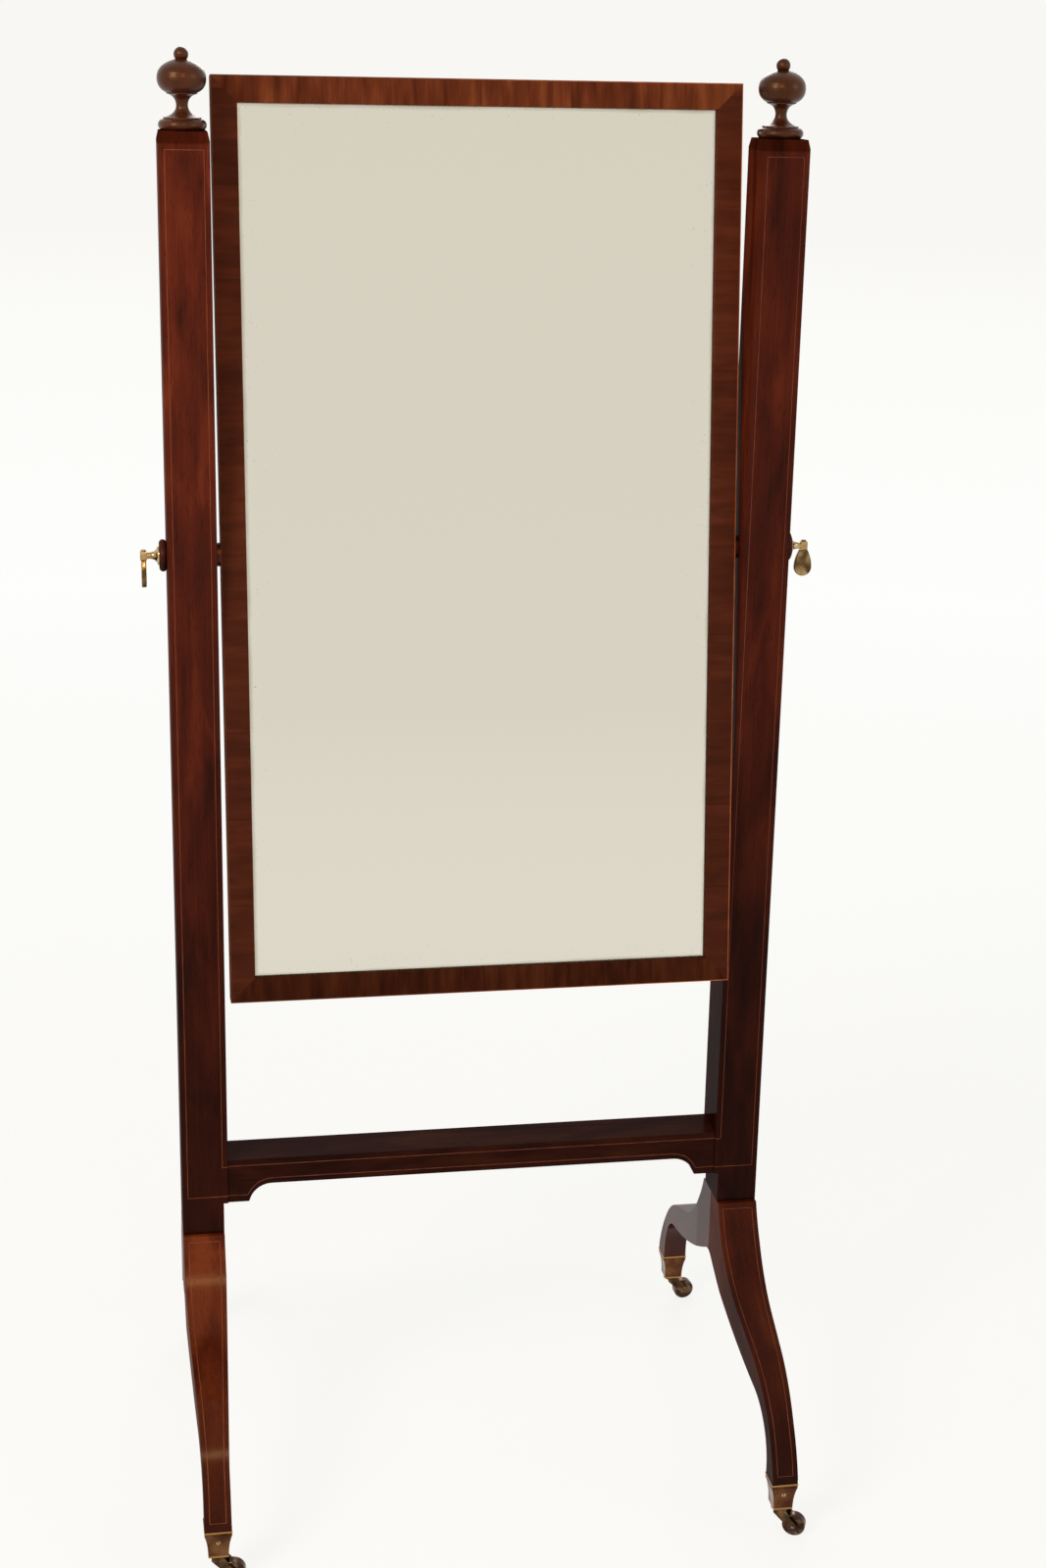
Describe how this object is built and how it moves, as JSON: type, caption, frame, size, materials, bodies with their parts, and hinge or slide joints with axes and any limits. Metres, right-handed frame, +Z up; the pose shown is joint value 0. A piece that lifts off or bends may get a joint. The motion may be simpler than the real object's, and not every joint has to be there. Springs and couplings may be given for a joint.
{
  "type": "cheval mirror",
  "caption": "Free-standing full-length mirror: a framed glass swings between square posts on curved legs with castors.",
  "frame": {"origin": "on the floor, midway between the posts and midway between the front and rear feet", "axes": "+X to the viewer's right when facing the glass, +Y to the back, +Z up"},
  "size_m": [0.7095, 0.5466, 1.536],
  "materials": {
    "post_mahogany": "polished",
    "rail_mahogany": "polished",
    "leg_mahogany": "polished",
    "turned_mahogany": "polished",
    "frame_mahogany": "polished",
    "cap_brass": "worn satin",
    "castor_brass": "worn satin",
    "castor_wheel": "worn satin",
    "steel_pins": "dull",
    "screw_brass": "worn satin",
    "pivot_brass": "satin",
    "handle_brass": "satin",
    "silvered_glass": "silvered",
    "pine_backboard": "raw"
  },
  "bodies": {
    "stand": {"left_post": "post_mahogany", "right_post": "post_mahogany", "left_finial": "turned_mahogany", "right_finial": "turned_mahogany", "cross_rail": "rail_mahogany", "front_left_leg": "leg_mahogany", "front_right_leg": "leg_mahogany", "rear_left_leg": "leg_mahogany", "rear_right_leg": "leg_mahogany", "front_left_cap": "cap_brass", "front_right_cap": "cap_brass", "rear_left_cap": "cap_brass", "rear_right_cap": "cap_brass", "cap_screws": "screw_brass", "left_pivot_collar": "turned_mahogany", "right_pivot_collar": "turned_mahogany", "left_post_bush": "pivot_brass", "right_post_bush": "pivot_brass"},
    "swing_frame": {"frame_left_stile": "frame_mahogany", "frame_right_stile": "frame_mahogany", "frame_top_rail": "frame_mahogany", "frame_bottom_rail": "frame_mahogany", "mirror_glass": "silvered_glass", "glass_blocks": "pine_backboard", "backboard": "pine_backboard", "backboard_screws": "steel_pins", "left_pivot_plate": "pivot_brass", "right_pivot_plate": "pivot_brass", "pivot_plate_screws": "steel_pins", "left_pivot_washer": "pivot_brass", "right_pivot_washer": "pivot_brass"},
    "left_screw": {"left_pivot_screw": "pivot_brass"},
    "left_handle": {"left_drop_handle": "handle_brass"},
    "right_screw": {"right_pivot_screw": "pivot_brass"},
    "right_handle": {"right_drop_handle": "handle_brass"},
    "front_left_castor": {"front_left_castor_horn": "castor_brass", "front_left_castor_axle": "steel_pins"},
    "front_left_wheel": {"front_left_castor_wheel": "castor_wheel"},
    "front_right_castor": {"front_right_castor_horn": "castor_brass", "front_right_castor_axle": "steel_pins"},
    "front_right_wheel": {"front_right_castor_wheel": "castor_wheel"},
    "rear_left_castor": {"rear_left_castor_horn": "castor_brass", "rear_left_castor_axle": "steel_pins"},
    "rear_left_wheel": {"rear_left_castor_wheel": "castor_wheel"},
    "rear_right_castor": {"rear_right_castor_horn": "castor_brass", "rear_right_castor_axle": "steel_pins"},
    "rear_right_wheel": {"rear_right_castor_wheel": "castor_wheel"}
  },
  "joints": [
    {"name": "frame_tilt", "type": "hinge", "parent": "stand", "child": "swing_frame", "pos_m": [0, 0, 1.0385], "axis": [1, 0, 0], "continuous": true},
    {"name": "left_screw_turn", "type": "hinge", "parent": "stand", "child": "left_screw", "pos_m": [-0.3253, 0, 1.0385], "axis": [1, 0, 0], "range_deg": [-180, 180]},
    {"name": "left_handle_turn", "type": "hinge", "parent": "left_screw", "child": "left_handle", "pos_m": [-0.3483, 0, 1.0385], "axis": [0, 0, 1], "continuous": true},
    {"name": "right_screw_turn", "type": "hinge", "parent": "stand", "child": "right_screw", "pos_m": [0.3253, 0, 1.0385], "axis": [1, 0, 0], "range_deg": [-180, 180]},
    {"name": "right_handle_turn", "type": "hinge", "parent": "right_screw", "child": "right_handle", "pos_m": [0.3483, 0, 1.0385], "axis": [0, 0, 1], "continuous": true},
    {"name": "front_left_castor_swivel", "type": "hinge", "parent": "stand", "child": "front_left_castor", "pos_m": [-0.3035, -0.258, 0.0335], "axis": [0, 0, 1], "continuous": true},
    {"name": "front_left_wheel_spin", "type": "hinge", "parent": "front_left_castor", "child": "front_left_wheel", "pos_m": [-0.28774, -0.26078, 0.0125], "axis": [-0.1736, -0.9848, 0], "continuous": true},
    {"name": "front_right_castor_swivel", "type": "hinge", "parent": "stand", "child": "front_right_castor", "pos_m": [0.3035, -0.258, 0.0335], "axis": [0, 0, 1], "continuous": true},
    {"name": "front_right_wheel_spin", "type": "hinge", "parent": "front_right_castor", "child": "front_right_wheel", "pos_m": [0.318, -0.26476, 0.0125], "axis": [-0.4226, -0.9063, 0], "continuous": true},
    {"name": "rear_left_castor_swivel", "type": "hinge", "parent": "stand", "child": "rear_left_castor", "pos_m": [-0.3035, 0.258, 0.0335], "axis": [0, 0, 1], "continuous": true},
    {"name": "rear_left_wheel_spin", "type": "hinge", "parent": "rear_left_castor", "child": "rear_left_wheel", "pos_m": [-0.28785, 0.26133, 0.0125], "axis": [0.2079, -0.9781, 0], "continuous": true},
    {"name": "rear_right_castor_swivel", "type": "hinge", "parent": "stand", "child": "rear_right_castor", "pos_m": [0.3035, 0.258, 0.0335], "axis": [0, 0, 1], "continuous": true},
    {"name": "rear_right_wheel_spin", "type": "hinge", "parent": "rear_right_castor", "child": "rear_right_wheel", "pos_m": [0.31944, 0.25939, 0.0125], "axis": [0.0872, -0.9962, 0], "continuous": true}
  ]
}
